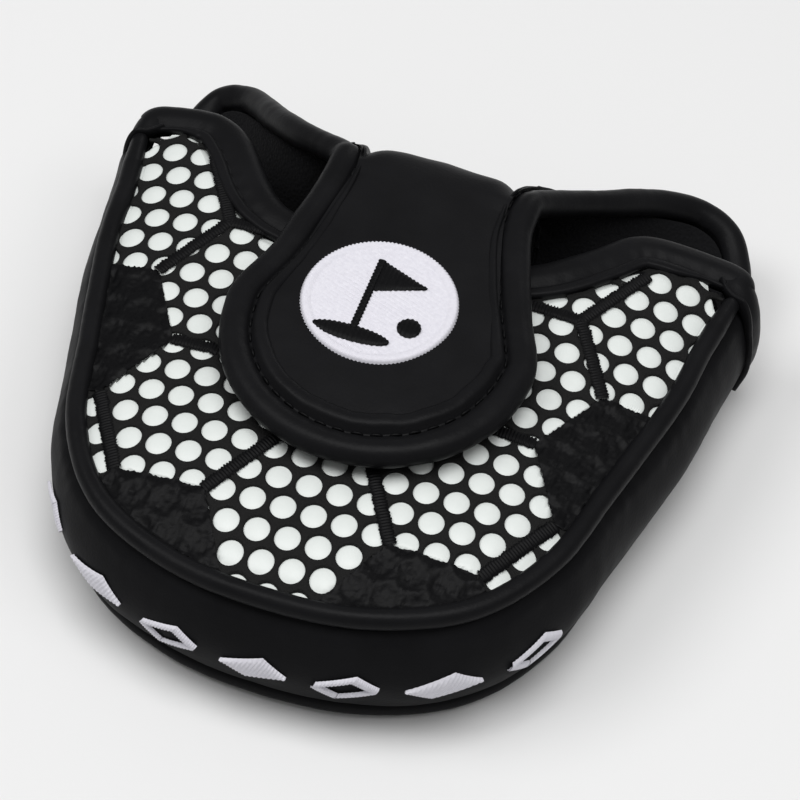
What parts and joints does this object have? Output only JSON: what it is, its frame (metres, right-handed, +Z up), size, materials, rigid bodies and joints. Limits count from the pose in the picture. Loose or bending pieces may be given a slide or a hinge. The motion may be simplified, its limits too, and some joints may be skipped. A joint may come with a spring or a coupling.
{
  "type": "putter head cover",
  "caption": "Padded U-shaped mallet putter head cover with a hexagon-patterned mesh front, piped gusset and a fold-over closure flap that opens.",
  "frame": {"origin": "on the flat underside of the back panel, on the cover's line of symmetry", "axes": "+Z up out of the front panel, +Y from the toe of the U out through the mouth, +X to the right seen from the front panel"},
  "size_m": [0.1358, 0.1393, 0.045],
  "materials": {
    "black_leather": "satin black synthetic leather with a fine grain",
    "black_mesh": "open knitted mesh",
    "black_patch": "matte woven patch",
    "pale_backing": "satin pale synthetic leather",
    "foam": "open-cell padding",
    "lining": "brushed plush lining",
    "white_thread": "satin embroidery thread",
    "black_thread": "satin embroidery thread",
    "cord": "twisted piping cord",
    "steel": "plated steel disc"
  },
  "bodies": {
    "pouch": {"front_mesh": "black_mesh", "front_dark_patch_1": "black_patch", "front_dark_patch_2": "black_patch", "front_dark_patch_3": "black_patch", "front_dark_patch_4": "black_patch", "front_base_panel": "pale_backing", "front_foam": "foam", "front_lining": "lining", "keeper_magnet_left": "steel", "keeper_magnet_right": "steel", "front_rim_binding": "black_leather", "front_rim_band": "black_leather", "gusset_outer": "black_leather", "gusset_foam": "foam", "gusset_lining": "lining", "gusset_end_binding_left": "black_leather", "gusset_end_binding_right": "black_leather", "gusset_motif_1": "white_thread", "gusset_motif_2": "white_thread", "gusset_motif_3": "white_thread", "gusset_motif_4": "white_thread", "gusset_motif_5": "white_thread", "gusset_motif_6": "white_thread", "gusset_motif_7": "white_thread", "front_welt": "black_leather", "front_welt_cord": "cord", "back_welt": "black_leather", "back_welt_cord": "cord", "back_outer": "black_leather", "back_foam": "foam", "back_lining": "lining", "back_rim_binding_left": "black_leather", "back_rim_binding_right": "black_leather"},
    "flap": {"flap_outer": "black_leather", "flap_foam": "foam", "flap_lining": "lining", "flap_binding": "black_leather", "flap_binding_cord": "cord", "flap_band": "black_leather", "badge_disc": "white_thread", "badge_flag": "black_thread", "badge_hole": "black_thread", "badge_ball": "black_thread", "flap_magnet_left": "steel", "flap_magnet_right": "steel"}
  },
  "joints": [
    {"name": "flap_fold", "type": "hinge", "parent": "pouch", "child": "flap", "pos_m": [0, 0.041, 0.0437], "axis": [-1, 0, 0], "range_deg": [0, 150]}
  ]
}
